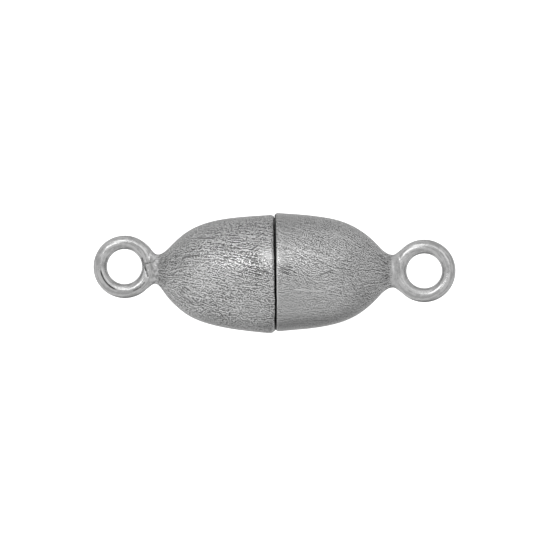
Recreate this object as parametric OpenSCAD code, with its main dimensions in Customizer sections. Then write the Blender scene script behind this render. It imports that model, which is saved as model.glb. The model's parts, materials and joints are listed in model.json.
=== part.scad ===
// Magnetic jewellery clasp, shut: two olive half shells that meet rim to rim, a disc magnet in each,
// and a round wire eye soldered to the tip of each half.
// It lies on its side. X runs from the left eye to the right one, the seam is at X = 0, the eyes lie flat.

/* [Both halves] */
// Diameter of a half at its rim
rim_d = 8; // [7.6:0.1:12]
// Length of the brushed body of a half, from its rim to its nose
body_l = 7.15; // [6.2:0.05:12]
// Slit between the two rims when the clasp is shut
rim_gap = 0.02; // [0.02:0.01:0.3]
// Sideways step from one rim to the other, as the halves have closed
rim_step = 0.13; // [0:0.01:0.4]
// Thickness of the shell's wall behind the magnet
wall_t = 0.6; // [0.4:0.05:0.8]

/* [Left half] */
// Rounding of the rim's outer edge
left_edge_r = 0.26; // [0.05:0.01:0.3]
// Slope of the outline where it leaves the rim, in degrees
left_rim_slope = 4; // [1:0.5:8]
// Slope of the outline at the nose, in degrees
left_nose_slope = 47; // [40:1:55]
// How far the outline keeps its slope at the rim, as a share of the body's length
left_rim_reach = 0.63; // [0.4:0.01:0.7]
// How far the outline keeps its slope at the nose, as a share of the body's length
left_nose_reach = 0.29; // [0.2:0.01:0.45]
// Diameter of the nose, where the neck begins
left_nose_d = 3.36; // [2.8:0.02:4]
// Length of the neck, from the nose of the body to the outer edge of the eye
left_neck_l = 0.84; // [0.6:0.01:1.5]
// Width of the neck at its waist
left_waist_w = 2.04; // [1.6:0.02:2.6]
// How far the eye was soldered off the axis of its body
left_eye_rise = 0.58; // [0:0.02:0.7]

/* [Right half] */
// Rounding of the rim's outer edge
right_edge_r = 0.2; // [0.05:0.01:0.3]
// Slope of the outline where it leaves the rim, in degrees
right_rim_slope = 4.5; // [1:0.5:8]
// Slope of the outline at the nose, in degrees
right_nose_slope = 48.5; // [40:0.5:55]
// How far the outline keeps its slope at the rim, as a share of the body's length
right_rim_reach = 0.45; // [0.4:0.01:0.7]
// How far the outline keeps its slope at the nose, as a share of the body's length
right_nose_reach = 0.4; // [0.2:0.01:0.45]
// Diameter of the nose, where the neck begins
right_nose_d = 3.22; // [2.8:0.02:4]
// Length of the neck, from the nose of the body to the outer edge of the eye
right_neck_l = 0.88; // [0.6:0.01:1.5]
// Width of the neck at its waist
right_waist_w = 2.24; // [1.6:0.02:2.6]
// How far the eye was soldered off the axis of its body
right_eye_rise = 0; // [0:0.02:0.7]

/* [Necks and eyes] */
// Thickness of a neck at its waist
neck_t = 1.6; // [0.9:0.05:2]
// Length of the fillet that spreads from the waist into the eye
fillet_l = 0.62; // [0.45:0.01:0.7]
// Diameter of the hole in an eye
eye_hole_d = 2.42; // [2:0.02:3]
// Thickness of an eye's wire
eye_wire_d = 0.9; // [0.8:0.02:1.2]

/* [Magnets] */
// Diameter of a disc magnet
magnet_d = 6; // [5:0.1:6.4]
// Height of a disc magnet
magnet_h = 3; // [2:0.1:3.5]
// Gap between the faces of the two magnets when the clasp is shut
magnet_gap = 0.02; // [0.02:0.01:0.03]
// Clearance around a magnet and behind it
magnet_fit = 0.03; // [0.02:0.01:0.1]
// Width of the ledge that a magnet sits on
ledge_w = 0.43; // [0.3:0.01:0.8]
// Bevel round the edges of a magnet
magnet_bevel = 0.15; // [0.05:0.01:0.3]

/* [Hidden] */
// Number of sides of a whole turn
$fn = 96;
// Straight steps along a body's outline, round the edge of a rim and along each stretch of a neck
outline_steps = 24;
edge_steps = 6;
neck_steps = 6;
// Sides of a neck's section
neck_sides = 32;
// How deep a neck's first section stands in the nose, and how far it keeps inside the skin of nose and eye
neck_root = 0.2;
skin = 0.02;

rim_r = rim_d / 2;
bore_r = magnet_d / 2 + magnet_fit;
ledge_r = bore_r - ledge_w;
// Distances along a half are counted from its rim
bore_depth = magnet_h + magnet_fit - (rim_gap - magnet_gap) / 2;
eye_outer_r = eye_hole_d / 2 + eye_wire_d;
eye_bend_r = (eye_hole_d + eye_wire_d) / 2;
// Half the width of the eye where the fillet ends, and half the thickness that its wire hides there
fillet_w = sqrt(pow(eye_outer_r, 2) - pow(eye_outer_r - fillet_l, 2)) - skin;
fillet_t = sqrt(pow(eye_wire_d / 2, 2) - pow(eye_outer_r - fillet_l - eye_bend_r, 2)) - skin;

// Unit vector along an outline that closes in by the given slope, as [radius, distance]
function along(slope) = [-sin(slope), cos(slope)];

// The four control points of a body's outline
function outline_frame(edge_r, rim_slope, nose_slope, rim_reach, nose_reach, nose_d) =
    let (start = [rim_r, edge_r * (1 + sin(rim_slope))], end = [nose_d / 2, body_l])
    [
        start,
        start + body_l * rim_reach * along(rim_slope),
        end - body_l * nose_reach * along(nose_slope),
        end
    ];

// Point and direction of a cubic curve through its control points, at the share t of its way
function curve_point(p, t) =
    pow(1 - t, 3) * p[0] + 3 * pow(1 - t, 2) * t * p[1] + 3 * (1 - t) * t * t * p[2] + pow(t, 3) * p[3];
function curve_way(p, t) =
    pow(1 - t, 2) * (p[1] - p[0]) + 2 * (1 - t) * t * (p[2] - p[1]) + t * t * (p[3] - p[2]);

// Points of an outline, moved inwards by depth
function outline_points(p, depth) = [
    for (i = [0:outline_steps])
        let (t = i / outline_steps, way = curve_way(p, t))
        curve_point(p, t) - depth * [way[1], -way[0]] / norm(way)
];

// Points round the outer edge of a rim, from its face to the start of the outline
function edge_points(edge_r, rim_slope) = [
    for (i = [0:edge_steps - 1])
        let (a = -90 + (90 + rim_slope) * i / edge_steps)
        [rim_r - edge_r * cos(rim_slope), edge_r] + edge_r * [cos(a), sin(a)]
];

// Height at x of the smooth curve that leaves [x0, y0] with slope m0 and reaches [x1, y1] level
function settle(x, x0, y0, m0, x1, y1) =
    let (u = (x - x0) / (x1 - x0))
    y0 + (y1 - y0) * u * u * (3 - 2 * u) + m0 * (x1 - x0) * u * pow(1 - u, 2);

// Height at x of the smooth curve that leaves [x0, y0] level and reaches [x1, y1] with slope m1
function spread(x, x0, y0, x1, y1, m1) = settle(x0 + x1 - x, x0, y1, -m1, x1, y0);

// Half section of a cup without its neck: outer skin, bore for the magnet, hollow behind its ledge
module cup_section(p, edge_r, rim_slope) {
    difference() {
        polygon(concat([[0, 0]], edge_points(edge_r, rim_slope), outline_points(p, 0), [[0, body_l]]));
        translate([0, -rim_gap])
            square([bore_r, rim_gap + bore_depth]);
        intersection() {
            polygon(concat([[0, 0]], outline_points(p, wall_t), [[0, curve_point(p, 1)[1] - wall_t]]));
            square([ledge_r, body_l]);
        }
    }
}

// Neck from the nose to the eye, round at the nose and flat at the eye, where it spreads into the wire
module neck(nose_d, nose_slope, neck_l, waist_w, rise) {
    nose_r = nose_d / 2 - skin;
    waist_at = body_l + neck_l;
    fillet_at = waist_at + fillet_l;
    from_nose = [for (i = [0:neck_steps]) body_l + neck_l * i / neck_steps];
    from_waist = [for (i = [1:neck_steps]) waist_at + fillet_l * i / neck_steps];
    // Each section holds its distance, half width, half thickness and sideways shift
    sections = concat(
        [[body_l - neck_root, nose_r, nose_r, 0]],
        [
            for (x = from_nose)
                [
                    x,
                    settle(x, body_l, nose_r, -tan(nose_slope), waist_at, waist_w / 2),
                    settle(x, body_l, nose_r, -tan(nose_slope), waist_at, neck_t / 2),
                    settle(x, body_l, 0, 0, fillet_at, rise)
                ]
        ],
        [
            for (x = from_waist)
                [
                    x,
                    spread(x, waist_at, waist_w / 2, fillet_at, fillet_w, 1),
                    settle(x, waist_at, neck_t / 2, 0, fillet_at, fillet_t),
                    settle(x, body_l, 0, 0, fillet_at, rise)
                ]
        ]
    );
    last = len(sections) - 1;
    points = [
        for (s = sections, k = [0:neck_sides - 1])
            [s[0], s[3] + s[1] * cos(360 * k / neck_sides), s[2] * sin(360 * k / neck_sides)]
    ];
    walls = [
        for (i = [0:last - 1], k = [0:neck_sides - 1])
            let (a = i * neck_sides + k, b = i * neck_sides + (k + 1) % neck_sides)
            each [[a, a + neck_sides, b], [b, a + neck_sides, b + neck_sides]]
    ];
    ends = [[for (k = [0:neck_sides - 1]) k], [for (k = [neck_sides - 1:-1:0]) last * neck_sides + k]];
    polyhedron(points, concat(walls, ends));
}

// Round wire ring, flat in the XY plane, with the bending line of its wire at eye_bend_r
module eye(neck_l, rise) {
    translate([body_l + neck_l + eye_outer_r, rise, 0])
        rotate_extrude()
            translate([eye_bend_r, 0])
                circle(d = eye_wire_d, $fn = 48);
}

// A whole cup with its neck and eye, its axis along +X and its rim at X = 0
module cup(edge_r, rim_slope, nose_slope, rim_reach, nose_reach, nose_d, neck_l, waist_w, rise) {
    p = outline_frame(edge_r, rim_slope, nose_slope, rim_reach, nose_reach, nose_d);
    union() {
        rotate([90, 0, 90])
            rotate_extrude()
                cup_section(p, edge_r, rim_slope);
        neck(nose_d, nose_slope, neck_l, waist_w, rise);
        eye(neck_l, rise);
    }
}

// A disc magnet with bevelled edges, its axis along +X and its face at X = 0
module magnet() {
    r = magnet_d / 2;
    rotate([90, 0, 90])
        rotate_extrude()
            polygon([
                [0, 0],
                [r - magnet_bevel, 0],
                [r, magnet_bevel],
                [r, magnet_h - magnet_bevel],
                [r - magnet_bevel, magnet_h],
                [0, magnet_h]
            ]);
}

// Puts a piece made along +X on its side of the seam, with its face half a gap away from it
module on_left(gap) {
    translate([-gap / 2, -rim_step / 2, rim_r])
        mirror([1, 0, 0])
            children();
}

module on_right(gap) {
    translate([gap / 2, rim_step / 2, rim_r])
        children();
}

module left_cup() {
    color("silver")
        on_left(rim_gap)
            cup(
                left_edge_r, left_rim_slope, left_nose_slope, left_rim_reach, left_nose_reach,
                left_nose_d, left_neck_l, left_waist_w, left_eye_rise
            );
}

module left_magnet() {
    color("lightgray")
        on_left(magnet_gap)
            magnet();
}

module right_cup() {
    color("silver")
        on_right(rim_gap)
            cup(
                right_edge_r, right_rim_slope, right_nose_slope, right_rim_reach, right_nose_reach,
                right_nose_d, right_neck_l, right_waist_w, right_eye_rise
            );
}

module right_magnet() {
    color("lightgray")
        on_right(magnet_gap)
            magnet();
}

left_cup();
left_magnet();
right_cup();
right_magnet();
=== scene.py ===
"""A shut magnetic jewellery clasp of brushed silver, lying on a pale floor and seen from above."""
import json
import math

import bpy
from bpy.props import FloatProperty, FloatVectorProperty, IntProperty, PointerProperty
from bpy.types import Operator, Panel, PropertyGroup
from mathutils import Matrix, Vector


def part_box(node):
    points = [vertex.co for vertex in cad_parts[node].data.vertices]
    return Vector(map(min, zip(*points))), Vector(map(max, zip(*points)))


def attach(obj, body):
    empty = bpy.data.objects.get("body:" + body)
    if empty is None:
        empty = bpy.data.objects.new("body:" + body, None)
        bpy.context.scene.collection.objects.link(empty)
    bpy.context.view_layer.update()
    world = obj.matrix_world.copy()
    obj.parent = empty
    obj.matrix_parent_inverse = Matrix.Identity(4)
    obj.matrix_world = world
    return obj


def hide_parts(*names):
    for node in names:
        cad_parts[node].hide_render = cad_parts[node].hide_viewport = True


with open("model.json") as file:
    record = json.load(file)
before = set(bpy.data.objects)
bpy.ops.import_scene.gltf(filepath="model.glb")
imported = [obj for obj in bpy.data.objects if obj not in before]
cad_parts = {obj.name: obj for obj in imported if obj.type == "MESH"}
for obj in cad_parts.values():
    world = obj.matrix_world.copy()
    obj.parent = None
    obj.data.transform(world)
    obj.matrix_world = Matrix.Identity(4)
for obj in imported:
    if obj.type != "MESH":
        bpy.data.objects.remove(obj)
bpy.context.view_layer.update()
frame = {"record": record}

bl_info = {
    "name": "Magnetic clasp",
    "version": (1, 0, 0),
    "blender": (4, 5, 0),
    "location": "3D View > Sidebar > Clasp",
    "description": "Models and finishes a brushed silver magnetic clasp round its frame",
    "category": "Object",
}

# Pieces are modelled in millimetres and brought to metres when they are done
MM = 0.001
LEFT, RIGHT = -1, 1
SIDE_NAMES = {LEFT: "left", RIGHT: "right"}


def length(name, text, default, least=0.0):
    """A length that a user can set, kept in metres"""
    return FloatProperty(
        name=name, description=text, default=default, min=least, precision=5, unit="LENGTH"
    )


def share(name, text, default):
    """A share that a user can set, from 0 to 1"""
    return FloatProperty(
        name=name, description=text, default=default, min=0.0, max=1.0, subtype="FACTOR"
    )


def angle(name, text, degrees):
    """An angle that a user can set, kept in radians"""
    turn = math.radians(degrees)
    return FloatProperty(name=name, description=text, default=turn, subtype="ANGLE")


def level(name, text, default):
    """A brightness or a power that a user can set"""
    return FloatProperty(name=name, description=text, default=default, min=0.0)


def colour(name, text, default):
    """A colour that a user can set"""
    return FloatVectorProperty(
        name=name, description=text, default=default, min=0.0, max=1.0, subtype="COLOR"
    )


# What a user can set on each half: its kind, key, name, description, left default and right default
HALF_SETTINGS = (
    (length, "edge_radius", "Rim edge", "Rounding of the rim's outer edge", 0.00026, 0.0002),
    (angle, "rim_slope", "Rim slope", "Slope of the outline where it leaves the rim", 4, 4.5),
    (angle, "nose_slope", "Nose slope", "Slope of the outline at the nose", 47, 48.5),
    (share, "rim_reach", "Rim reach",
     "How far the outline keeps its slope at the rim, as a share of its length", 0.63, 0.45),
    (share, "nose_reach", "Nose reach",
     "How far the outline keeps its slope at the nose, as a share of its length", 0.29, 0.4),
    (length, "nose_diameter", "Nose",
     "Diameter of the nose, where the neck begins", 0.00336, 0.00322),
    (length, "waist_width", "Waist", "Width of the neck at its waist", 0.00204, 0.00224),
    (length, "lean", "Lean",
     "How far the nose has been filed towards the side of the eye", 0.0001, 0.0),
    (length, "slit_width", "Slit",
     "Width of the slit where the eye's wire closes on itself", 0.00008, 0.0),
    (length, "seam_width", "Draw seam",
     "Half the width of the dark draw seam along the eye's wire", 0.00009, 0.0),
    (length, "solder_grain", "Solder grain",
     "Depth of the lumps in the solder of the neck", 0.00015, 0.00003),
    (share, "dull", "Dull solder", "How far dull solder covers the neck", 1.0, 0.6),
    (length, "stroke_depth", "Stroke depth", "Depth of the brush strokes", 0.000014, 0.00001),
    (length, "fleck_size", "Fleck size",
     "Size of the flecks that break the brush strokes up", 0.0001, 0.000072),
    (angle, "stroke_lean", "Stroke lean",
     "How far the strokes of the middle lean off the way to the nose", -14, -20),
    (share, "calm", "Calm",
     "How much softer the strokes are on the side away from the key light", 0.05, 0.6),
    # The reach of the painted shade in the groove between the rims
    (length, "grime_reach", "Grime",
     "How far grime reaches out of the groove onto the rim", 0.00004, 0.00012),
    (length, "worn_edge", "Worn edge",
     "How much is worn off the rim's outer edge at the front", 0.00008, 0.0),
)


def half_settings(column):
    """The settings of one half, with the defaults of one column"""
    return {
        key: kind(name, text, defaults[column])
        for kind, key, name, text, *defaults in HALF_SETTINGS
    }


class LeftHalf(PropertyGroup):
    """Shape and finish of the left half"""

    __annotations__ = half_settings(0)


class RightHalf(PropertyGroup):
    """Shape and finish of the right half"""

    __annotations__ = half_settings(1)


class CupSizes(PropertyGroup):
    """Sizes that both cups share"""

    body_length: length("Body", "Length of the brushed body from its rim to its nose", 0.00715)
    neck_thickness: length("Neck thickness", "Thickness of a neck at its waist", 0.0016)
    fillet_length: length(
        "Fillet", "Length of the fillet that spreads from the waist into the eye", 0.00062
    )
    wire: length("Wire", "Thickness of an eye's wire", 0.0009)
    wall: length("Wall", "Thickness of the shell's wall behind the magnet", 0.0006)
    ledge: length("Ledge", "Width of the ledge that a magnet sits on", 0.00043)
    fit: length("Fit", "Clearance around a magnet and behind it", 0.00003)
    mouth_bevel: length("Mouth bevel", "Bevel at the mouth of the bore", 0.00006)
    rim_dish: length(
        "Rim dish", "How far the left rim's face stands out at the bore, and the right one's back",
        0.0001,
    )
    rim_close: length(
        "Rim closing", "How much nearer each rim's burnished edge comes to the other", 0.000008
    )
    rim_wave: length(
        "Rim wave", "How far hand filing lets both rims wander to the right, on the average",
        0.00006,
    )
    uneven: length("Unevenness", "How far the hand finish leaves the skin uneven", 0.00003)
    grain: length("Grain", "Size of the grains that the neck and eye are fused from", 0.000035)
    sides: IntProperty(name="Sides", description="Sides of a body's section", default=160, min=24)


class FinishColours(PropertyGroup):
    """Colours of the metals"""

    silver: colour("Silver", "Brushed silver of the bodies", (0.99, 0.99, 0.99))
    polished: colour("Polished silver", "Smooth silver of the eyes", (0.75, 0.75, 0.75))
    solder: colour("Solder", "Dull silver solder of the necks", (0.78, 0.78, 0.78))
    scratch: colour("Scratch", "Dark bottom of a deep scratch", (0.13, 0.13, 0.13))
    # Near-black of the painted shade in the groove between the rims, and of the eye's draw seam
    shade_and_seam: colour("Grime", "Grime in the groove between the two rims", (0.02, 0.02, 0.02))
    nickel: colour("Nickel", "Plating of the magnets", (0.66, 0.64, 0.60))


class StageSizes(PropertyGroup):
    """Camera, lights and floor"""

    picture_width: length(
        "Picture width", "Width that the picture takes in at the height of the eyes", 0.03722
    )
    camera_height: length("Camera height", "Height of the camera above the eyes", 0.35)
    camera_right: length(
        "Camera right", "How far right of the seam the picture's middle lies", 0.00005, -1.0
    )
    camera_up: length(
        "Camera up", "How far above the seam's middle the picture's middle lies", -0.000125, -1.0
    )
    camera_roll: angle("Camera roll", "Turn of the camera about the way it looks", -0.5)
    floor_width: length("Floor", "Width of the floor", 2.0)
    floor_colour: colour("Floor", "Colour of the floor", (0.90, 0.90, 0.90))
    floor_glow: level("Floor glow", "Light that the floor gives off by itself", 1.0)
    sky_low: level("Walls", "Brightness of the room at floor level", 0.54)
    sky_high: level("Ceiling", "Brightness of the room overhead", 0.60)
    front: share("Front", "How bright the room stays low down in front of the clasp", 0.42)
    left_side: level("Left side", "How much brighter the room is low down on the left", 1.15)
    back: level("Back", "How much brighter the room is behind the clasp", 1.18)
    back_low: share("Low at the back", "How bright the room stays low down behind the clasp", 0.86)
    key_power: level("Key light", "Power of the light at the upper left, in watts", 0.06)
    top_power: level("Top light", "Power of the light overhead, in watts", 0.05)


def mm(metres):
    """A length of the frame or of a setting, in millimetres"""
    return metres / MM


def clean_slate():
    """Object mode with nothing selected"""
    if bpy.context.mode != "OBJECT":
        bpy.ops.object.mode_set(mode="OBJECT")
    bpy.ops.object.select_all(action="DESELECT")


def activate(piece):
    """Selects one piece alone"""
    clean_slate()
    piece.select_set(True)
    bpy.context.view_layer.objects.active = piece


def edit(piece, select="DESELECT"):
    """Edit mode on one piece, with its mesh selected or not"""
    activate(piece)
    bpy.ops.object.mode_set(mode="EDIT")
    bpy.ops.mesh.select_mode(type="VERT")
    bpy.ops.mesh.select_all(action=select)


def pick(piece, wanted):
    """Selects the vertices that wanted(place) chooses, and leaves the piece in edit mode"""
    edit(piece)
    bpy.ops.object.mode_set(mode="OBJECT")
    for vertex in piece.data.vertices:
        vertex.select = wanted(vertex.co)
    bpy.ops.object.mode_set(mode="EDIT")


def apply_modifier(piece, kind, **settings):
    """Adds a modifier with its settings and applies it"""
    activate(piece)
    modifier = piece.modifiers.new(kind.lower(), kind)
    for name, value in settings.items():
        setattr(modifier, name, value)
    bpy.ops.object.modifier_apply(modifier=modifier.name)


# Edges that turn by more than this stay sharp
SHARP_ANGLE = math.radians(35)


def finish_piece(piece, name, material, body, node):
    """Smooths a piece, brings it to metres at the origin, names it, and sets it in the frame"""
    activate(piece)
    bpy.ops.object.shade_smooth_by_angle(angle=SHARP_ANGLE)
    bpy.ops.object.transform_apply()
    piece.scale = (MM, MM, MM)
    bpy.ops.object.transform_apply(location=False, rotation=False, scale=True)
    piece.name = name
    piece.data.name = name
    piece.data.materials.clear()
    piece.data.materials.append(material)
    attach(piece, body)
    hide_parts(node)
    clean_slate()


def blend_step(u):
    """Smooth step from 0 to 1 as u goes from 0 to 1"""
    u = min(max(u, 0.0), 1.0)
    return u * u * (3 - 2 * u)


def settle(x, x0, y0, m0, x1, y1):
    """Height at x of the smooth curve from (x0, y0), with slope m0, to (x1, y1), level"""
    u = (x - x0) / (x1 - x0)
    return y0 + (y1 - y0) * blend_step(u) + m0 * (x1 - x0) * u * (1 - u) ** 2


def spread(x, x0, y0, x1, y1, m1):
    """Height at x of the smooth curve from (x0, y0), level, to (x1, y1), with slope m1"""
    return settle(x0 + x1 - x, x0, y1, -m1, x1, y0)


# How far before the nose's end a neck starts to bend towards its eye, in millimetres
SHIFT_LEAD = 0.15
# Where a filed nose has its whole lean, as a share of the body's length
LEAN_OVER = 0.63
# Thickness of a neck's fillet, as a share of the wire's, and how steeply it widens into the eye
FILLET_THICKNESS = 0.9
FILLET_SLOPE = 0.4


class CupPlan:
    """The places and sizes of one cup, in millimetres, with distances counted from its rim"""

    def __init__(self, context, side):
        scene = context.scene
        self.side = side
        self.name = SIDE_NAMES[side]
        self.half = scene.clasp_left if side == LEFT else scene.clasp_right
        self.cups = scene.clasp_cups
        low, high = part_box(f"{self.name}_cup")
        magnet_low, magnet_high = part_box(f"{self.name}_magnet")
        mounts = {mount["name"]: mount["pos_m"] for mount in frame["record"]["mounts"]}
        eye = mounts[f"{self.name}_eye"]
        self.rim_x = mm(high.x if side == LEFT else low.x)
        self.rim_r = mm(high.z - low.z) / 2
        self.axis_y = mm(magnet_low.y + magnet_high.y) / 2
        self.axis_z = mm(low.z + high.z) / 2
        self.bore_r = mm(magnet_high.z - magnet_low.z) / 2 + mm(self.cups.fit)
        magnet_back = mm(magnet_low.x if side == LEFT else magnet_high.x)
        self.bore_depth = abs(magnet_back - self.rim_x) + mm(self.cups.fit)
        self.eye_at = abs(mm(eye[0]) - self.rim_x)
        self.eye_rise = mm(eye[1]) - self.axis_y
        self.eye_outer_r = abs(mm(low.x if side == LEFT else high.x) - mm(eye[0]))
        self.wire_r = mm(self.cups.wire) / 2
        self.bend_r = self.eye_outer_r - self.wire_r
        self.body_l = mm(self.cups.body_length)
        self.waist_at = self.eye_at - self.eye_outer_r
        self.fillet_at = self.waist_at + mm(self.cups.fillet_length)

    def control_points(self):
        """The four control points of the body's outline, as (distance, radius)"""
        half = self.half
        edge = mm(half.edge_radius)
        start = Vector((edge * (1 + math.sin(half.rim_slope)), self.rim_r))
        end = Vector((self.body_l, mm(half.nose_diameter) / 2))
        leave = Vector((math.cos(half.rim_slope), -math.sin(half.rim_slope)))
        arrive = Vector((math.cos(half.nose_slope), -math.sin(half.nose_slope)))
        return (
            start,
            start + self.body_l * half.rim_reach * leave,
            end - self.body_l * half.nose_reach * arrive,
            end,
        )

    def outline(self, steps, depth=0.0):
        """Points of the body's outline as (distance, radius), moved inwards by depth"""
        a, b, c, d = self.control_points()
        points = []
        for i in range(steps + 1):
            t = i / steps
            s = 1 - t
            place = a * s ** 3 + 3 * b * s * s * t + 3 * c * s * t * t + d * t ** 3
            way = ((b - a) * s * s + 2 * (c - b) * s * t + (d - c) * t * t).normalized()
            points.append(place - depth * Vector((-way.y, way.x)))
        return points

    def shift(self, distance):
        """How far the middle of a section lies off the axis of the bore"""
        lean = mm(self.half.lean) * blend_step(distance / (LEAN_OVER * self.body_l))
        bend_from = self.body_l - SHIFT_LEAD
        to_eye = blend_step((distance - bend_from) / (self.fillet_at - bend_from))
        return lean + (self.eye_rise - lean) * to_eye

    def neck_section(self, distance):
        """Half width and half thickness of the neck"""
        nose_r = mm(self.half.nose_diameter) / 2
        slope = -math.tan(self.half.nose_slope)
        waist_w = mm(self.half.waist_width) / 2
        waist_t = mm(self.cups.neck_thickness) / 2
        if distance <= self.waist_at:
            reach = (self.body_l, nose_r, slope, self.waist_at)
            return settle(distance, *reach, waist_w), settle(distance, *reach, waist_t)
        reach = self.fillet_at - self.waist_at
        fillet_w = math.sqrt(self.eye_outer_r ** 2 - (self.eye_outer_r - reach) ** 2)
        fillet_t = FILLET_THICKNESS * self.wire_r
        return (
            spread(distance, self.waist_at, waist_w, self.fillet_at, fillet_w, FILLET_SLOPE),
            settle(distance, self.waist_at, waist_t, 0.0, self.fillet_at, fillet_t),
        )


def loft(plan, sections, sides, open_end=False):
    """A skin through oval sections, each (distance, half width, half thickness, shift)"""
    clean_slate()
    place = [
        (plan.rim_x + plan.side * at, plan.axis_y + shift, plan.axis_z)
        for at, wide, thick, shift in sections
    ]
    wide, thick = sections[0][1:3]
    bpy.ops.mesh.primitive_circle_add(
        vertices=sides, radius=wide, location=place[0], rotation=(0, math.pi / 2, 0),
        fill_type="NOTHING",
    )
    piece = bpy.context.object
    bpy.ops.object.mode_set(mode="EDIT")
    bpy.ops.transform.resize(value=(1, 1, thick / wide), center_override=place[0])
    for i in range(1, len(sections)):
        step = Vector(place[i]) - Vector(place[i - 1])
        bpy.ops.mesh.extrude_region_move(TRANSFORM_OT_translate={"value": step})
        grow = (1, sections[i][1] / sections[i - 1][1], sections[i][2] / sections[i - 1][2])
        bpy.ops.transform.resize(value=grow, center_override=place[i])
    # Only the last section is selected here
    bpy.ops.mesh.select_all(action="INVERT" if open_end else "SELECT")
    bpy.ops.mesh.fill_holes(sides=0)
    bpy.ops.mesh.select_all(action="SELECT")
    bpy.ops.mesh.normals_make_consistent(inside=False)
    bpy.ops.object.mode_set(mode="OBJECT")
    bpy.ops.object.transform_apply()
    return piece


# Distance from the waist back to where the body's own skin ends in the neck, in millimetres
BODY_END = 0.36
# How far the neck's root stands in the body, and the gap between their skins, in millimetres
ROOT_DEPTH = 0.25
SKIN_GAP = 0.04
# Half the length of neck that is smoothed where the two skins meet, in millimetres
JOINT_REACH = 0.12
# How far from the rim its wave dies out, and how far its edge's wear reaches, in millimetres
RIM_WAVE_REACH = 1.5
EDGE_WEAR_REACH = 0.4
# Sizes of the lumps that the rims wander by and that filing leaves, in millimetres
WAVE_LUMPS = 1.6
FILING_LUMPS = 2.4
# Steps in the skin along the hollow, the bore, the rim's face and edge, and the body's outline
HOLLOW_STEPS, BORE_STEPS, FACE_STEPS, EDGE_STEPS, OUTLINE_STEPS = 20, 4, 6, 7, 64
# Steps in the skin from the nose to the body's end, in the neck's root and along the neck
NOSE_STEPS, ROOT_STEPS, NECK_STEPS = 10, 4, 24


def body_sections(plan):
    """Sections of a cup's shell, from its hollow round its rim to its end in the neck"""
    cups = plan.cups
    bevel = mm(cups.mouth_bevel)
    edge = mm(plan.half.edge_radius)
    ledge_r = plan.bore_r - mm(cups.ledge)
    hollow = [p for p in plan.outline(HOLLOW_STEPS, mm(cups.wall)) if p.x > plan.bore_depth]
    inside = [(p.x, min(p.y, ledge_r)) for p in reversed(hollow)]
    inside += [(plan.bore_depth, ledge_r), (plan.bore_depth, plan.bore_r)]
    for i in range(BORE_STEPS - 1, 0, -1):
        inside.append((plan.bore_depth * i / BORE_STEPS, plan.bore_r))
    face_out = plan.rim_r - edge * math.cos(plan.half.rim_slope)
    face_in = plan.bore_r + bevel
    dish = mm(cups.rim_dish) * plan.side
    close = mm(cups.rim_close)
    inside.append((bevel + dish - close, plan.bore_r))
    for i in range(FACE_STEPS):
        at = dish * (1 - (i / FACE_STEPS) ** 2) - close
        inside.append((at, face_in + (face_out - face_in) * i / FACE_STEPS))
    turn = math.pi / 2 + plan.half.rim_slope
    outside = []
    for i in range(EDGE_STEPS):
        a = -math.pi / 2 + turn * i / EDGE_STEPS
        at = edge + edge * math.sin(a) - close * (1 - i / EDGE_STEPS)
        outside.append((at, face_out + edge * math.cos(a)))
    outside += [(p.x, p.y) for p in plan.outline(OUTLINE_STEPS)]
    sections = [(at, r, r, 0.0) for at, r in inside]
    sections += [(at, r, r, plan.shift(at)) for at, r in outside]
    end = plan.waist_at - BODY_END
    for i in range(1, NOSE_STEPS + 1):
        at = plan.body_l + (end - plan.body_l) * i / NOSE_STEPS
        sections.append((at, *plan.neck_section(at), plan.shift(at)))
    return sections


def neck_sections(plan):
    """Sections of a neck, from its root in the body to its end in the eye's wire"""
    end = plan.waist_at - BODY_END
    stations = [end - ROOT_DEPTH * (1 - i / ROOT_STEPS) for i in range(ROOT_STEPS)]
    stations += [end + (plan.fillet_at - end) * i / NECK_STEPS for i in range(NECK_STEPS + 1)]
    sections = []
    for at in stations:
        wide, thick = plan.neck_section(max(at, plan.body_l))
        sections.append((at, wide, thick, plan.shift(at)))
    return sections


# Sides of a neck's section, of a wire's section, and of a wire's ring
NECK_SIDES, WIRE_SIDES, RING_SIDES = 96, 48, 144
# What the fusing and smoothing takes off a wire's radius, in millimetres
FUSED_AWAY = 0.018
# Shift, in millimetres, and scale of the second ring that swells each eye's wire
WIRE_SWELL = {
    LEFT: (Vector((-0.02, 0.02, 0)), (0.985, 0.985, 1)),
    RIGHT: (Vector((0, 0, 0)), (1, 0.975, 1)),
}


def wire_ring(plan, place, scale):
    """A ring of round wire"""
    clean_slate()
    bpy.ops.mesh.primitive_torus_add(
        major_segments=RING_SIDES, minor_segments=WIRE_SIDES, location=place,
        major_radius=plan.bend_r, minor_radius=plan.wire_r + FUSED_AWAY,
    )
    ring = bpy.context.object
    ring.scale = scale
    bpy.ops.object.transform_apply()
    return ring


# Ends of the slit where an eye's wire closes on itself, in millimetres from the eye's middle
SLIT_START = Vector((1.16, 0.62))
SLIT_END = Vector((1.60, -0.72))
# How far below the wire's middle the slit reaches, and the height of the blade, in millimetres
SLIT_BELOW = 0.1
BLADE_HEIGHT = 2.0


def cut_slit(eye, centre, width):
    """Cuts the slanting slit where the wire closes on itself"""
    middle = (SLIT_START + SLIT_END) / 2
    run = SLIT_END - SLIT_START
    middle_z = centre[2] + (BLADE_HEIGHT / 2 - SLIT_BELOW)
    clean_slate()
    bpy.ops.mesh.primitive_cube_add(
        size=1, location=(centre[0] + middle.x, centre[1] + middle.y, middle_z),
        rotation=(0, 0, math.atan2(run.y, run.x)), scale=(run.length, width, BLADE_HEIGHT),
    )
    blade = bpy.context.object
    bpy.ops.object.transform_apply()
    apply_modifier(eye, "BOOLEAN", operation="DIFFERENCE", solver="EXACT", object=blade)
    bpy.data.objects.remove(blade)


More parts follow.
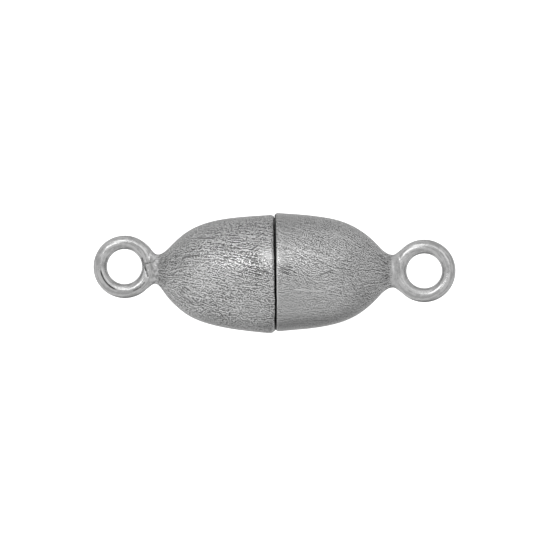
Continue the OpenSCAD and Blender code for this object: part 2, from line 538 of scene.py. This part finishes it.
def make_eye(plan):
    """The neck and the wire eye, fused and smoothed as solder leaves them"""
    neck = loft(plan, neck_sections(plan), NECK_SIDES)
    eye_x = plan.rim_x + plan.side * plan.eye_at
    centre = Vector((eye_x, plan.axis_y + plan.eye_rise, plan.axis_z))
    # The second ring makes the wire a little thicker on one side, inwards only
    shift, squeeze = WIRE_SWELL[plan.side]
    eye = wire_ring(plan, centre, (1, 1, 1))
    swell = wire_ring(plan, centre + shift, squeeze)
    if plan.half.slit_width > 0:
        for ring in (eye, swell):
            cut_slit(ring, centre, mm(plan.half.slit_width))
    activate(eye)
    swell.select_set(True)
    neck.select_set(True)
    bpy.ops.object.join()
    grain = mm(plan.cups.grain)
    apply_modifier(eye, "REMESH", mode="VOXEL", voxel_size=grain, adaptivity=0.0)
    apply_modifier(eye, "SMOOTH", factor=0.5, iterations=10)
    return eye


def clouds(name, size):
    """A cloud pattern with lumps of the given size, in millimetres"""
    pattern = bpy.data.textures.new(name, "CLOUDS")
    pattern.noise_scale = size
    pattern.noise_depth = 1
    return pattern


def file_by_hand(cup, plan):
    """Lets the rim wander to the right and back, and leaves the skin uneven, as hand filing does"""
    near_rim = cup.vertex_groups.new(name="near_rim")
    for vertex in cup.data.vertices:
        distance = abs(vertex.co.x - plan.rim_x)
        if distance < RIM_WAVE_REACH:
            near_rim.add([vertex.index], 1 - blend_step(distance / RIM_WAVE_REACH), "REPLACE")
    apply_modifier(
        cup, "DISPLACE", texture=clouds("rim_wave", WAVE_LUMPS), texture_coords="LOCAL",
        direction="X", vertex_group="near_rim", strength=2 * mm(plan.cups.rim_wave), mid_level=0.0,
    )
    apply_modifier(
        cup, "DISPLACE", texture=clouds("filing", FILING_LUMPS), texture_coords="LOCAL",
        direction="NORMAL", strength=mm(plan.cups.uneven), mid_level=0.1,
    )


def wear_edge(cup, plan):
    """Wears the rim's outer edge rounder at the front, where it is worn at all"""
    if plan.half.worn_edge == 0:
        return
    front_edge = cup.vertex_groups.new(name="front_edge")
    for vertex in cup.data.vertices:
        radius = math.hypot(vertex.co.y - plan.axis_y, vertex.co.z - plan.axis_z)
        from_edge = math.hypot(vertex.co.x - plan.rim_x, radius - plan.rim_r)
        forwards = (plan.axis_y - vertex.co.y) / plan.rim_r
        weight = (1 - blend_step(from_edge / EDGE_WEAR_REACH)) * blend_step(2 * forwards - 1)
        if weight > 0:
            front_edge.add([vertex.index], weight, "REPLACE")
    apply_modifier(
        cup, "DISPLACE", direction="NORMAL", vertex_group="front_edge",
        strength=-mm(plan.half.worn_edge), mid_level=0.0,
    )


def bridge_skins(cup, eye, plan):
    """Cuts the neck open beyond the body's end, and bridges the gap between the two skins"""
    gap_x = plan.rim_x + plan.side * (plan.waist_at - BODY_END + SKIN_GAP)
    edit(eye, "SELECT")
    bpy.ops.mesh.bisect(plane_co=(gap_x, 0, 0), plane_no=(plan.side, 0, 0), clear_inner=True)
    activate(cup)
    eye.select_set(True)
    bpy.ops.object.join()
    edit(cup)
    bpy.ops.mesh.select_non_manifold(
        use_wire=False, use_multi_face=False, use_non_contiguous=False, use_verts=False
    )
    bpy.ops.mesh.bridge_edge_loops()
    pick(cup, lambda place: abs(place.x - gap_x) < JOINT_REACH)
    bpy.ops.mesh.vertices_smooth(factor=0.5, repeat=8)
    bpy.ops.mesh.select_all(action="SELECT")
    bpy.ops.mesh.normals_make_consistent(inside=False)
    bpy.ops.object.mode_set(mode="OBJECT")


def make_cup(plan, material):
    """A whole cup: lofted body, fused neck and eye, joined into one skin"""
    eye = make_eye(plan)
    cup = loft(plan, body_sections(plan), plan.cups.sides, open_end=True)
    wear_edge(cup, plan)
    file_by_hand(cup, plan)
    bridge_skins(cup, eye, plan)
    name = plan.name
    finish_piece(cup, f"{name}_silver_cup", material, f"{name}_half", f"{name}_cup")


# Rounding of a magnet's edges, in millimetres, and how many sides it has
MAGNET_EDGE = 0.15
MAGNET_SIDES = 128


def make_magnet(plan, material):
    """A disc magnet with rounded edges"""
    low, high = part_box(f"{plan.name}_magnet")
    middle = [mm(v) for v in (low + high) / 2]
    clean_slate()
    bpy.ops.mesh.primitive_cylinder_add(
        vertices=MAGNET_SIDES, radius=mm(high.z - low.z) / 2, depth=mm(high.x - low.x),
        location=middle, rotation=(0, math.pi / 2, 0), end_fill_type="NGON",
    )
    magnet = bpy.context.object
    bpy.ops.object.transform_apply()
    apply_modifier(
        magnet, "BEVEL", width=MAGNET_EDGE, segments=4, limit_method="ANGLE",
        angle_limit=math.radians(60),
    )
    name = plan.name
    finish_piece(magnet, f"{name}_disc_magnet", material, f"{name}_half", f"{name}_magnet")


# Single marks on the upper skin, each (x0, y0, x1, y1) in millimetres from the seam and the axis;
# the dark ones are scratches, creases and pits with painted shade in the pits, the bright ones
# painted highlights
DARK_MARKS = {
    LEFT: (
        # Near the eye, where the wire's end and the solder leave pits; the pits' darkness is
        # painted shade
        (-9.5, -1.03, -9.12, -0.86), (-9.12, -0.86, -8.79, -0.51), (-8.83, 0.8, -8.54, -0.05),
        (-8.75, 0.77, -8.37, 0.86), (-8.13, 0.95, -8.1, 0.95), (-7.77, -0.18, -7.77, -0.36),
        (-7.71, -0.69, -7.68, -0.74),
        # Nose
        (-6.9, 0.85, -6.78, 0.91), (-6.62, 1.26, -6.51, 1.27), (-6.11, 1.13, -5.85, 1.24),
        (-5.71, 1.26, -5.02, 1.32), (-5.54, 1.58, -5.37, 1.69), (-5.1, 2.45, -4.03, 2.44),
        (-6.06, -0.80, -5.68, -1.06), (-5.48, -0.82, -5.27, -0.87), (-6.26, -1.0, -6.04, -1.21),
        (-6.04, -1.49, -5.76, -1.69), (-5.5, -1.58, -5.28, -1.8), (-5.72, -1.84, -5.46, -2.01),
        # Rim
        (-1.78, 1.11, -1.17, 0.9), (-1.5, 1.62, -1.1, 1.92), (-0.73, 0.29, -0.39, 0.02),
    ),
    RIGHT: (
        (0.40, 0.23, 1.10, 0.12), (0.55, 0.02, 0.9, -0.1), (0.8, 0.4, 1.2, 0.3),
        (3.1, -0.2, 3.9, 0.1), (7.1, 1.1, 7.35, 1.0), (7.45, 0.55, 7.6, 0.5),
        (7.5, -0.3, 7.75, -0.35),
    ),
}
# Painted highlights: glints along scratches and along the right rim's edge, the band where the left
# eye's wire reflects the key light, and spots beside the neck's pits
PAINTED_HIGHLIGHTS = {
    LEFT: (
        (-8.78, 0.3, -9.0, -0.5), (-8.0, 0.97, -7.97, 0.97), (-7.6, 0.93, -7.55, 0.93),
        (-8.72, 0.97, -8.7, 0.97), (-6.9, 0.98, -6.75, 1.07), (-5.52, 1.52, -5.33, 1.64),
        (-5.41, 2.66, -5.18, 2.77), (-5.13, 2.37, -4.03, 2.35), (-5.89, -0.78, -5.57, -1.04),
        (-5.57, -1.04, -4.99, -1.30), (-6.11, -1.02, -5.9, -1.25), (-6.04, -1.36, -5.68, -1.64),
        (-5.76, -1.28, -5.57, -1.58), (-5.57, -1.58, -5.33, -1.84), (-5.63, -2.03, -5.2, -2.2),
        (-5.2, -2.2, -4.98, -2.27), (-2.4, 2.68, -1.3, 2.49), (-1.42, 1.55, -1.1, 1.82),
    ),
    RIGHT: (
        (0.24, 1.5, 0.2, 0.6), (0.2, 0.3, 0.2, -2.2), (0.26, 1.93, 3.6, 0.86),
        (1.4, -1.17, 3.3, -1.32), (3.5, -1.1, 4.9, -0.85), (4.0, 2.6, 5.3, 2.0),
        (3.2, 2.7, 4.2, 2.3),
    ),
}
DARK_WIDTH = 0.1
HIGHLIGHT_WIDTH = 0.09
# Spots of the upper skin, each (x, y, size, how much brighter, how much softer its strokes): the
# change in brightness is painted light and shade, the softer strokes are wear
PAINTED_LIGHT_AND_WEAR_SPOTS = {
    LEFT: (
        (-0.42, 1.33, 0.95, 0.0, 1.0), (-3.2, 1.1, 1.6, -0.1, 0.0), (-1.1, 0.5, 1.6, -0.2, 0.0),
        (-2.6, 2.0, 2.2, 0.04, 0.0), (-1.2, -2.2, 2.2, -0.02, 0.35), (-5.6, -1.4, 2.6, 0.05, 0.0),
        (-2.3, -2.6, 2.2, 0.1, 0.0), (-4.6, 0.0, 2.6, 0.1, 0.0), (-4.5, 2.0, 1.6, 0.06, 0.0),
        (-6.2, 2.0, 1.4, -0.03, 0.6), (-6.6, 0.8, 1.2, -0.08, 0.3),
    ),
    RIGHT: (
        (0.55, 1.1, 1.1, -0.04, 0.6), (4.6, 1.8, 2.0, 0.1, 0.0), (1.8, 1.9, 1.4, 0.03, 0.0),
        (1.6, 0.4, 2.0, -0.07, 0.0), (4.9, 0.2, 1.8, -0.1, 0.0), (0.8, 0.15, 0.9, -0.1, 0.0),
        (3.1, 0.8, 1.2, -0.13, 0.0), (6.4, -1.7, 1.6, -0.16, 0.0), (5.4, -2.5, 1.4, -0.1, 0.1),
        (3.6, -2.0, 1.8, 0.0, 0.45), (1.2, -2.0, 2.4, -0.04, 0.9), (1.2, 3.2, 2.4, -0.05, 0.6),
    ),
}
# How far inside the wire's middle its draw seam lies, and the side of the eye that it shows on
SEAM_INSET = 0.03
SEAM_SIDE = (-0.788, -0.616, 0.0)
# Depths, in metres, of the marks on an eye's wire, on a lapped rim and on a turned magnet
WIRE_MARK_DEPTH = 0.00004
LAPPED_DEPTH = 0.000006
TURNED_DEPTH = 0.000003


def new_material(name):
    """A material with its shader, and its node tree"""
    material = bpy.data.materials.new(name)
    material.use_nodes = True
    return material, material.node_tree, material.node_tree.nodes["Principled BSDF"]


def put(kind, values, **settings):
    """Adds a node beside the first socket given, and sets or links its inputs by name or number"""
    sockets = (value for value in values.values() if isinstance(value, bpy.types.NodeSocket))
    tree = next(sockets).id_data
    node = tree.nodes.new(kind)
    for name, value in settings.items():
        setattr(node, name, value)
    for key, value in values.items():
        if isinstance(value, bpy.types.NodeSocket):
            tree.links.new(value, node.inputs[key])
        else:
            node.inputs[key].default_value = value
    return node


def maths(operation, *values):
    """A number worked out from others"""
    return put("ShaderNodeMath", dict(enumerate(values)), operation=operation).outputs[0]


def vector(operation, *values):
    """A vector worked out from others"""
    return put("ShaderNodeVectorMath", dict(enumerate(values)), operation=operation).outputs[0]


def times(first, *others):
    """The product of numbers"""
    for other in others:
        first = maths("MULTIPLY", first, other)
    return first


def measure(operation, *values):
    """A length or distance of vectors"""
    node = put("ShaderNodeVectorMath", dict(enumerate(values)), operation=operation)
    return node.outputs["Value"]


def scaled(value, factor):
    """A vector times a number"""
    node = put("ShaderNodeVectorMath", {0: value, "Scale": factor}, operation="SCALE")
    return node.outputs[0]


def noise(place, scale, detail=2.0, roughness=0.5):
    """Smooth noise from 0 to 1 at a place"""
    values = {"Vector": place, "Scale": scale, "Detail": detail, "Roughness": roughness}
    return put("ShaderNodeTexNoise", values).outputs[0]


def ramp(value, low, high, to_low=0.0, to_high=1.0):
    """A smooth step from to_low to to_high as the value goes from low to high"""
    values = {
        "Value": value, "From Min": low, "From Max": high, "To Min": to_low, "To Max": to_high
    }
    return put("ShaderNodeMapRange", values, interpolation_type="SMOOTHSTEP").outputs[0]


def mix(factor, a, b):
    """A number between a and b"""
    return put("ShaderNodeMix", {"Factor": factor, "A": a, "B": b}).outputs[0]


def mix_colour(factor, a, b):
    """A colour between a and b, which are sockets 6 and 7 of the node, as its output 2"""
    return put("ShaderNodeMix", {0: factor, 6: a, 7: b}, data_type="RGBA").outputs[2]


def near(place, spot_place, size):
    """1 at a spot, and 0 from the given size away from it"""
    return ramp(measure("DISTANCE", place, spot_place), 0.0, size, 1.0, 0.0)


def near_line(place, start, end, width):
    """1 on the straight line from start to end, and 0 from the given width away from it"""
    run = Vector(end) - Vector(start)
    from_start = vector("SUBTRACT", place, start)
    way = measure("DOT_PRODUCT", from_start, tuple(run / run.length_squared))
    way = maths("MINIMUM", maths("MAXIMUM", way, 0.0), 1.0)
    away = measure("DISTANCE", from_start, scaled(tuple(run), way))
    return ramp(away, 0.0, width, 1.0, 0.0)


def marks_on(skin, marks, width):
    """1 on the drawn lines of the upper skin, each (x0, y0, x1, y1), and 0 elsewhere"""
    total = 0.0
    for x0, y0, x1, y1 in marks:
        line = near_line(skin.from_above, (x0, y0, 0.0), (x1, y1, 0.0), width)
        total = maths("MAXIMUM", total, line)
    return times(total, ramp(skin.z, 0.0, 0.2))


def painted_light_and_wear_spots(skin, spots):
    """How much brighter the spots are painted, as painted light and shade, and how much softer
    their worn strokes are
    """
    upper = ramp(skin.z, 0.0, 0.5)
    brighter = calm = 0.0
    for x, y, size, change, softness in spots:
        here = times(near(skin.from_above, (x, y, 0.0), size), upper)
        brighter = maths("MULTIPLY_ADD", here, change, brighter)
        calm = maths("MAXIMUM", calm, times(here, softness))
    return brighter, calm


def strokes(skin, lean, width, run, taps):
    """Brush strokes of a width and run in millimetres, round nought, turned off the nose by lean"""
    sine, cosine = maths("SINE", lean), maths("COSINE", lean)
    onwards, aside = skin.nose_way, skin.round_way
    along = vector("ADD", scaled(onwards, cosine), scaled(aside, sine))
    across = vector("SUBTRACT", scaled(aside, cosine), scaled(onwards, sine))
    half_step = scaled(across, 0.25 * width)
    lines = [vector(way, skin.place, half_step) for way in ("ADD", "SUBTRACT")]
    total = 0.0
    for i in range(taps):
        move = scaled(along, run * (i / (taps - 1) - 0.5))
        high, low = (noise(vector("ADD", line, move), 1 / width, 0.0) for line in lines)
        total = maths("ADD", total, maths("SUBTRACT", high, low))
    return maths("DIVIDE", total, math.sqrt(taps))


class Skin:
    """Where a point of a cup's skin lies, in millimetres, and its directions, as sockets"""

    def __init__(self, tree, plan):
        metres = tree.nodes.new("ShaderNodeTexCoord").outputs["Object"]
        axis = (0.0, plan.axis_y, plan.axis_z)
        self.place = vector("SUBTRACT", scaled(metres, 1 / MM), axis)
        split = put("ShaderNodeSeparateXYZ", {0: self.place})
        self.x, self.y, self.z = split.outputs[:3]
        self.from_above = vector("MULTIPLY", self.place, (1.0, 1.0, 0.0))
        sideways = vector("MULTIPLY", self.place, (0.0, 1.0, 1.0))
        self.radius = measure("LENGTH", sideways)
        self.flat = vector("NORMALIZE", sideways)
        # Unit vectors in the skin: round the clasp, and from its left end to its right end
        normal = tree.nodes.new("ShaderNodeNewGeometry").outputs["Normal"]
        turned = vector("CROSS_PRODUCT", normal, (1.0, 0.0, 0.0))
        self.round_way = vector("NORMALIZE", turned)
        self.nose_way = vector("CROSS_PRODUCT", self.round_way, normal)
        self.from_rim = times(maths("SUBTRACT", self.x, plan.rim_x), plan.side)


# Size of the fine marks along an eye's wire, in millimetres, and how many run round the eye
WIRE_MARK = 0.14
WIRE_MARK_TURNS = 1.6


def drawn_wire(skin, plan):
    """The drawplate's marks along an eye's wire, and the groove of its draw seam"""
    eye_x = plan.rim_x + plan.side * plan.eye_at
    from_eye = vector("SUBTRACT", skin.place, (eye_x, plan.eye_rise, 0.0))
    outwards = vector("MULTIPLY", from_eye, (1.0, 1.0, 0.0))
    ring_r = measure("LENGTH", outwards)
    facing = vector("NORMALIZE", outwards)
    fine = put("ShaderNodeCombineXYZ", {
        "X": maths("DIVIDE", ring_r, WIRE_MARK),
        "Z": maths("DIVIDE", skin.z, WIRE_MARK),
    }).outputs[0]
    fine = vector("ADD", scaled(facing, WIRE_MARK_TURNS), fine)
    marks = mix(0.35, noise(fine, 1.0, 1.0), noise(skin.place, 4.0))
    if plan.half.seam_width == 0:
        return marks, None
    off_seam = maths("ABSOLUTE", maths("SUBTRACT", ring_r, plan.bend_r - SEAM_INSET))
    seam = ramp(off_seam, 0.0, mm(plan.half.seam_width), 1.0, 0.0)
    there = ramp(measure("DOT_PRODUCT", facing, SEAM_SIDE), 0.82, 0.93)
    return marks, times(seam, there, ramp(skin.z, 0.0, 0.2))


# Width of a short and of a long brush stroke, in millimetres
SHORT_STROKE = 0.074
LONG_STROKE = 0.09


def brushing(skin, half, wide_area):
    """The brushing round nought, its long strokes alone, and the grain that breaks it up"""
    # Strokes lean more over the middle of the body than at its nose, and others cross them
    lean = ramp(skin.from_rim, 4.0, 7.0, half.stroke_lean, 0.1 * half.stroke_lean)
    lean = times(lean, ramp(skin.y, -3.0, 0.0, 0.5, 1.0))
    wander = maths("SUBTRACT", noise(skin.place, 0.8, 1.0), 0.5)
    lean = maths("MULTIPLY_ADD", wander, 0.8, lean)
    following = strokes(skin, lean, SHORT_STROKE, 0.1, 2)
    turned = ramp(noise(skin.place, 0.9, 0.0), 0.4, 0.6, -0.7, 0.4)
    crossing = strokes(skin, maths("ADD", lean, turned), SHORT_STROKE, 0.08, 2)
    long_ones = strokes(skin, lean, LONG_STROKE, 0.6, 5)
    grain = noise(skin.place, 1 / mm(half.fleck_size), 1.0, 0.8)
    grain = maths("SUBTRACT", grain, 0.5)
    crossed = ramp(noise(skin.place, 1.1), 0.35, 0.65, 0.15, 0.7)
    brushed = mix(crossed, following, crossing)
    # Long strokes are plainest where the skin turns away from above
    turned_away = ramp(skin.z, 0.8, 2.2, 0.45, 0.0)
    plain = maths("MAXIMUM", ramp(wide_area, 0.4, 0.6, 0.15, 0.5), turned_away)
    brushed = mix(plain, brushed, long_ones)
    return mix(0.52, brushed, grain), long_ones, grain


def stroke_strength(skin, half, wide_area):
    """How strong the strokes are, before any soft spot"""
    return times(
        ramp(skin.y, -3.0, 0.5, 1.0 - half.calm, 1.0),
        ramp(maths("ABSOLUTE", skin.y), 0.6, 2.2, 0.75, 1.0),
        ramp(wide_area, 0.35, 0.65, 0.8, 1.0),
        # The underside has been handled more, so that its strokes have worn softer
        ramp(skin.z, -0.5, 2.0, 0.5, 1.0),
    )


def finish_metal(tree, shader, tone, roughness, height):
    """Makes the shader a metal of a colour and roughness, raised by a height in metres"""
    shader.inputs["Metallic"].default_value = 1.0
    tree.links.new(tone, shader.inputs["Base Color"])
    tree.links.new(roughness, shader.inputs["Roughness"])
    bump = put("ShaderNodeBump", {"Strength": 1.0, "Distance": 1.0, "Height": height})
    tree.links.new(bump.outputs[0], shader.inputs["Normal"])


def silver_material(name, colours, plan):
    """Brushed silver: strokes from nose to rim, spots of painted light and shade and of wear, and a
    smooth neck and eye
    """
    material, tree, shader = new_material(name)
    half = plan.half
    skin = Skin(tree, plan)
    scratch, silver, polished, solder, shade_and_seam = (
        (*getattr(colours, tone), 1)
        for tone in ("scratch", "silver", "polished", "solder", "shade_and_seam")
    )

    wide_area = noise(skin.place, 0.45)
    brushed, long_ones, grain = brushing(skin, half, wide_area)
    faint = ramp(brushed, -0.2, 0.2, 0.35, 0.8)
    # Single long strokes that stand out, bright less dark
    dark_ones = ramp(long_ones, -0.3, -0.14, 1.0, 0.0)
    lines = maths("SUBTRACT", ramp(long_ones, 0.14, 0.3), dark_ones)
    fleck = maths("MULTIPLY_ADD", lines, 0.7, ramp(brushed, -0.055, 0.055))
    # Spots painted lighter or darker as painted light and shade, and spots where wear has softened
    # the strokes
    brighter, softness = painted_light_and_wear_spots(skin, PAINTED_LIGHT_AND_WEAR_SPOTS[plan.side])
    strength = stroke_strength(skin, half, wide_area)
    strength = times(strength, maths("SUBTRACT", 1.0, softness))
    fleck = maths("ADD", mix(strength, faint, fleck), brighter)
    specks = ramp(skin.from_rim, plan.waist_at - 1.0, plan.waist_at - 0.4)
    specks = times(specks, ramp(noise(skin.place, 5.0, 1.0), 0.5, 0.62))
    fleck = maths("MULTIPLY_ADD", specks, -0.25, fleck)

    # 0 on the brushed body and 1 on the smooth neck and eye
    border = maths("MULTIPLY_ADD", brushed, 0.6, skin.from_rim)
    border = maths("SUBTRACT", border, 0.35)
    border = maths("MULTIPLY_ADD", noise(skin.place, 2.2, 1.0), 0.7, border)
    smooth = ramp(border, plan.waist_at - 0.42, plan.waist_at - 0.1)
    worn, draw_seam = drawn_wire(skin, plan)

    colour_brushed = mix_colour(fleck, scratch, silver)
    colour_smooth = mix_colour(ramp(worn, 0.38, 0.58), scratch, polished)
    colour_smooth = mix_colour(0.65, colour_smooth, polished)
    soldered = ramp(skin.from_rim, plan.waist_at, plan.fillet_at + 0.1, 1.0, 0.0)
    soldered = times(soldered, half.dull)
    mottled = ramp(noise(skin.place, 5.0), 0.4, 0.62, 0.0, 0.5 * half.dull)
    solder = mix_colour(mottled, solder, scratch)
    colour_smooth = mix_colour(soldered, colour_smooth, solder)
    if draw_seam:
        colour_smooth = mix_colour(draw_seam, colour_smooth, shade_and_seam)
    tone = mix_colour(smooth, colour_brushed, colour_smooth)
    broken = ramp(grain, -0.2, 0.1, 0.25, 0.8)
    # Painted highlights in the brightest silver, then the dark marks in the scratch colour
    for marks, width, mark_tone in (
        (PAINTED_HIGHLIGHTS, HIGHLIGHT_WIDTH, silver), (DARK_MARKS, DARK_WIDTH, scratch)
    ):
        drawn = times(marks_on(skin, marks[plan.side], width), broken)
        tone = mix_colour(drawn, tone, mark_tone)
    # Painted shade in the groove between the two rims, from where the filing has moved them to
    from_edge = maths("SUBTRACT", skin.from_rim, plan.side * mm(plan.cups.rim_wave))
    grime_reach = mm(half.grime_reach)
    groove = ramp(from_edge, 0.4 * grime_reach, grime_reach, 1.0, 0.0)
    tone = mix_colour(groove, tone, shade_and_seam)
    # The rim's flat face, lapped on a stone and soiled in places, shows when the clasp is open
    face_edge = plan.rim_r - mm(half.edge_radius)
    on_face = ramp(skin.radius, face_edge - 0.12, face_edge + 0.02, 1.0, 0.0)
    on_face = times(on_face, ramp(skin.from_rim, 0.25, 0.35, 1.0, 0.0))
    lapped = noise(vector("MULTIPLY", skin.place, (1.0, 1.6, 22.0)), 1.0)
    soiled = ramp(noise(skin.place, 1.5, 3.0), 0.5, 0.66, 0.0, 0.4)
    colour_face = mix_colour(ramp(lapped, 0.35, 0.65, 0.45, 1.0), scratch, polished)
    colour_face = mix_colour(soiled, colour_face, scratch)
    tone = mix_colour(on_face, tone, colour_face)

    rough_smooth = ramp(worn, 0.3, 0.7, 0.22, 0.13)
    rough_smooth = mix(soldered, rough_smooth, 0.45)
    rough = mix(smooth, mix(fleck, 0.34, 0.22), rough_smooth)
    rough = mix(on_face, rough, ramp(lapped, 0.3, 0.7, 0.38, 0.24))

    # Heights swing round nought, so that the brushed skin runs into the smooth one without a step
    brushed_height = times(maths("SUBTRACT", fleck, 0.5), half.stroke_depth)
    worn_height = times(maths("SUBTRACT", worn, 0.5), WIRE_MARK_DEPTH)
    lumps = maths("SUBTRACT", noise(skin.place, 3.5, 1.0), 0.5)
    lumps = times(soldered, mix(0.3, lumps, grain), half.solder_grain)
    to_neck = ramp(skin.from_rim, plan.waist_at - 0.45, plan.waist_at)
    height = mix(to_neck, brushed_height, maths("ADD", worn_height, lumps))
    height = mix(on_face, height, times(lapped, LAPPED_DEPTH))
    finish_metal(tree, shader, tone, rough, height)
    return material


def nickel_material(name, colours, plan):
    """Bright nickel plating: faint turning marks on the faces, fine scratches and dulled edges"""
    material, tree, shader = new_material(name)
    nickel, silver, scratch = (
        (*getattr(colours, tone), 1) for tone in ("nickel", "silver", "scratch")
    )
    skin = Skin(tree, plan)
    rings = maths("DIVIDE", skin.radius, 0.05)
    rings = put("ShaderNodeCombineXYZ", {"X": rings}).outputs[0]
    turned = noise(vector("ADD", rings, scaled(skin.flat, 1.5)), 1.0)
    scratched = noise(vector("MULTIPLY", skin.place, (3.0, 14.0, 1.5)), 1.0)
    scratched = ramp(scratched, 0.58, 0.66)
    mottled = ramp(noise(skin.place, 1.2, 3.0), 0.35, 0.65, 0.0, 0.35)
    tone = mix_colour(mottled, nickel, silver)
    tone = mix_colour(times(scratched, 0.4), tone, scratch)
    edge = ramp(skin.radius, plan.bore_r - 0.35, plan.bore_r - 0.1, 0.0, 0.6)
    duller = times(maths("MAXIMUM", scratched, edge), 0.15)
    rough = maths("ADD", ramp(turned, 0.35, 0.65, 0.14, 0.26), duller)
    height = times(maths("SUBTRACT", turned, scratched), TURNED_DEPTH)
    finish_metal(tree, shader, tone, rough, height)
    return material


class ClaspOperator(Operator):
    """Base of the clasp's operators"""

    bl_options = {"REGISTER", "UNDO"}


class OBJECT_OT_clasp_cups(ClaspOperator):
    """Models the two silver cups with their necks and eyes"""

    bl_idname = "object.clasp_cups"
    bl_label = "Silver cups"

    def execute(self, context):
        colours = context.scene.clasp_colours
        for side in (LEFT, RIGHT):
            plan = CupPlan(context, side)
            make_cup(plan, silver_material(f"{plan.name} brushed silver", colours, plan))
        return {"FINISHED"}


class OBJECT_OT_clasp_magnets(ClaspOperator):
    """Models the two disc magnets"""

    bl_idname = "object.clasp_magnets"
    bl_label = "Disc magnets"

    def execute(self, context):
        colours = context.scene.clasp_colours
        for side in (LEFT, RIGHT):
            plan = CupPlan(context, side)
            make_magnet(plan, nickel_material(f"{plan.name} nickel plating", colours, plan))
        return {"FINISHED"}


class OBJECT_OT_clasp_stage(ClaspOperator):
    """Sets up the camera, the soft lights and the pale floor"""

    bl_idname = "object.clasp_stage"
    bl_label = "Stage"

    def execute(self, context):
        stage = context.scene.clasp_stage
        add_floor(stage)
        add_sky(context, stage)
        add_lights(stage)
        add_camera(context, stage)
        return {"FINISHED"}


def add_floor(stage):
    """A pale floor under the clasp"""
    clean_slate()
    bpy.ops.mesh.primitive_plane_add(size=stage.floor_width)
    floor = bpy.context.object
    floor.name = "floor"
    material, _, shader = new_material("pale floor")
    shader.inputs["Base Color"].default_value = (*stage.floor_colour, 1)
    shader.inputs["Roughness"].default_value = 0.9
    shader.inputs["Emission Color"].default_value = (1, 1, 1, 1)
    shader.inputs["Emission Strength"].default_value = stage.floor_glow
    floor.data.materials.append(material)
    floor.visible_glossy = False


# Zones of the room that are darker or lighter: the way to a zone's middle, the cosine that it
# begins at, and the setting that the light is multiplied by there
ROOM_ZONES = (
    ((0.10, -0.79, -0.60), 0.86, "front"),
    ((-0.75, -0.60, -0.20), 0.3, "left_side"),
    ((-0.17, 0.91, 0.38), 0.78, "back"),
    ((0.22, 0.88, -0.42), 0.88, "back_low"),
)


def add_sky(context, stage):
    """A soft grey room, lighter overhead, that shows white behind the clasp"""
    world = bpy.data.worlds.new("room")
    world.use_nodes = True
    tree = world.node_tree
    way = tree.nodes.new("ShaderNodeTexCoord").outputs["Generated"]
    height = put("ShaderNodeSeparateXYZ", {0: way}).outputs["Z"]
    light = ramp(height, 0.0, 1.0, stage.sky_low, stage.sky_high)
    for towards, edge, setting in ROOM_ZONES:
        nearness = measure("DOT_PRODUCT", way, towards)
        light = times(light, ramp(nearness, edge, 1.0, 1.0, getattr(stage, setting)))
    room = tree.nodes["Background"]
    tree.links.new(light, room.inputs["Strength"])
    room.inputs["Color"].default_value = (1, 1, 1, 1)
    behind = tree.nodes.new("ShaderNodeBackground")
    behind.inputs["Color"].default_value = (1, 1, 1, 1)
    behind.inputs["Strength"].default_value = 1.0
    seen = tree.nodes.new("ShaderNodeLightPath").outputs["Is Camera Ray"]
    both = put("ShaderNodeMixShader", {0: seen, 1: room.outputs[0], 2: behind.outputs[0]})
    tree.links.new(both.outputs[0], tree.nodes["World Output"].inputs["Surface"])
    context.scene.world = world


# The soft lights, each with the setting of its power, its size and its place in metres
LIGHTS = (
    ("key_light", "key_power", 0.14, (-0.05, 0.12, 0.245)),
    ("top_light", "top_power", 0.24, (0.06, 0.12, 0.28)),
)
LIT_PLACE = Vector((0.0, 0.0, 0.004))


def add_lights(stage):
    """The square soft lights, which face the clasp"""
    for name, power, size, place in LIGHTS:
        clean_slate()
        bpy.ops.object.light_add(type="AREA", location=place)
        light = bpy.context.object
        light.name = name
        light.data.energy = getattr(stage, power)
        light.data.size = size
        light.rotation_euler = (LIT_PLACE - Vector(place)).to_track_quat("-Z", "Y").to_euler()


# Width of the camera's sensor, in millimetres
SENSOR = 36.0


def add_camera(context, stage):
    """The camera, straight above the clasp"""
    eyes_z = frame["record"]["mounts"][0]["pos_m"][2]
    clean_slate()
    bpy.ops.object.camera_add(
        location=(stage.camera_right, stage.camera_up, eyes_z + stage.camera_height),
        rotation=(0, 0, stage.camera_roll),
    )
    camera = bpy.context.object
    camera.name = "camera"
    camera.data.sensor_width = SENSOR
    camera.data.lens = SENSOR * stage.camera_height / stage.picture_width
    camera.data.clip_start = 0.01
    context.scene.camera = camera
    context.scene.view_settings.view_transform = "Standard"


class VIEW3D_PT_clasp(Panel):
    """Lists the clasp's settings and steps"""

    bl_label = "Magnetic clasp"
    bl_idname = "VIEW3D_PT_clasp"
    bl_space_type = "VIEW_3D"
    bl_region_type = "UI"
    bl_category = "Clasp"

    def draw(self, context):
        for step in STEPS:
            self.layout.operator(step.bl_idname)
        for name in SETTINGS:
            group = getattr(context.scene, name)
            box = self.layout.box()
            box.label(text=group.bl_rna.description)
            for key in group.bl_rna.properties.keys():
                if key not in ("rna_type", "name"):
                    box.prop(group, key)


STEPS = (OBJECT_OT_clasp_cups, OBJECT_OT_clasp_magnets, OBJECT_OT_clasp_stage)
SETTINGS = {
    "clasp_left": LeftHalf,
    "clasp_right": RightHalf,
    "clasp_cups": CupSizes,
    "clasp_colours": FinishColours,
    "clasp_stage": StageSizes,
}
CLASSES = (*SETTINGS.values(), *STEPS, VIEW3D_PT_clasp)


def register():
    """Registers the classes and hangs the settings on the scene"""
    for cls in CLASSES:
        bpy.utils.register_class(cls)
    for name, group in SETTINGS.items():
        setattr(bpy.types.Scene, name, PointerProperty(type=group))


def unregister():
    """Takes the settings and the classes away again"""
    for name in SETTINGS:
        delattr(bpy.types.Scene, name)
    for cls in reversed(CLASSES):
        bpy.utils.unregister_class(cls)


def main():
    """Builds the clasp and its stage"""
    register()
    bpy.ops.object.clasp_stage()
    bpy.ops.object.clasp_cups()
    bpy.ops.object.clasp_magnets()


if __name__ == "__main__":
    main()
